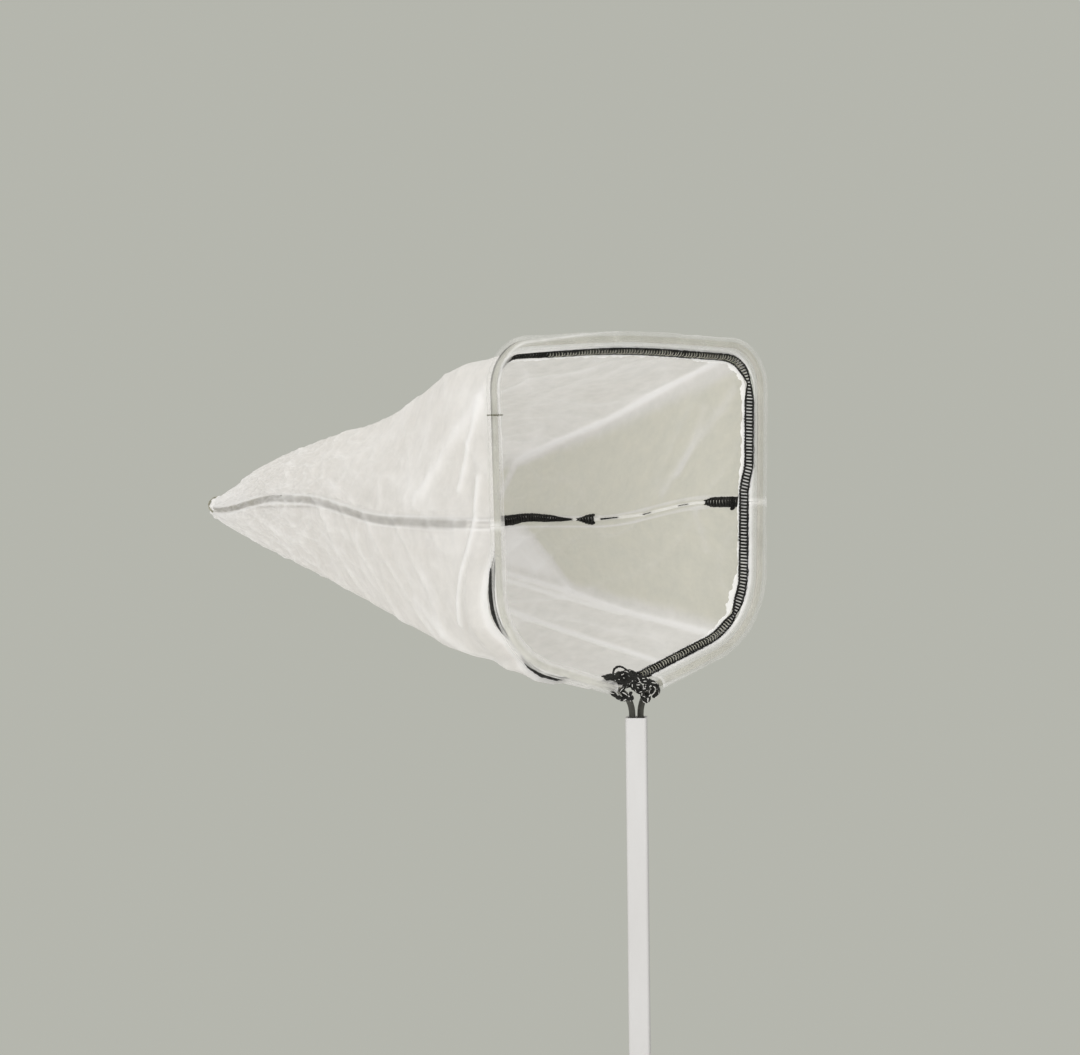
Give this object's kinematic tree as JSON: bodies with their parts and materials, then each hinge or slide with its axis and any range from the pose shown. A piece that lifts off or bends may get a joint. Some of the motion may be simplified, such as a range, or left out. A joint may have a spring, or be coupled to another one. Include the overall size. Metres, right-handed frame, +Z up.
{
  "type": "pond net",
  "caption": "Hand net with a plain square handle, a rounded wire hoop and a long pointed bag of sheer mesh, for lifting fish, leaves and weed out of a garden pond.",
  "frame": {"origin": "centre of the handle's lower end face", "axes": "+Z up along the handle to the hoop, -Y out of the mouth, +Y back along the bag, +X to the right of someone who looks into the mouth"},
  "size_m": [0.3144, 0.5691, 0.9261],
  "materials": {
    "handle_coat": "satin white coat",
    "white_plastic": "moulded matt",
    "wire_steel": "dark drawn wire",
    "hem_mesh": "doubled sheer mesh",
    "bag_mesh": "sheer crisp mesh",
    "seam_thread": "matt overlock thread"
  },
  "bodies": {
    "frame": {"handle_tube": "handle_coat", "handle_end_cap": "white_plastic", "handle_top_plug": "white_plastic", "hoop_wire": "wire_steel", "hem_upper": "hem_mesh", "hem_lower_left": "hem_mesh", "hem_lower_right": "hem_mesh", "mouth_seam": "seam_thread", "upper_panel_mouth": "bag_mesh", "lower_panel_mouth": "bag_mesh", "left_seam_mouth": "seam_thread", "right_seam_mouth": "seam_thread", "neck_tie": "seam_thread", "tie_knot": "seam_thread"},
    "bag_toe": {"upper_panel_toe": "bag_mesh", "lower_panel_toe": "bag_mesh", "left_seam_toe": "seam_thread", "right_seam_toe": "seam_thread", "toe_gather": "bag_mesh"}
  },
  "joints": [
    {"name": "bag_flex", "type": "hinge", "parent": "frame", "child": "bag_toe", "pos_m": [-0.03, 0.2755, 0.773], "axis": [1, 0, 0], "range_deg": [-25, 25], "stiffness_Nm_per_rad": 1.5}
  ]
}
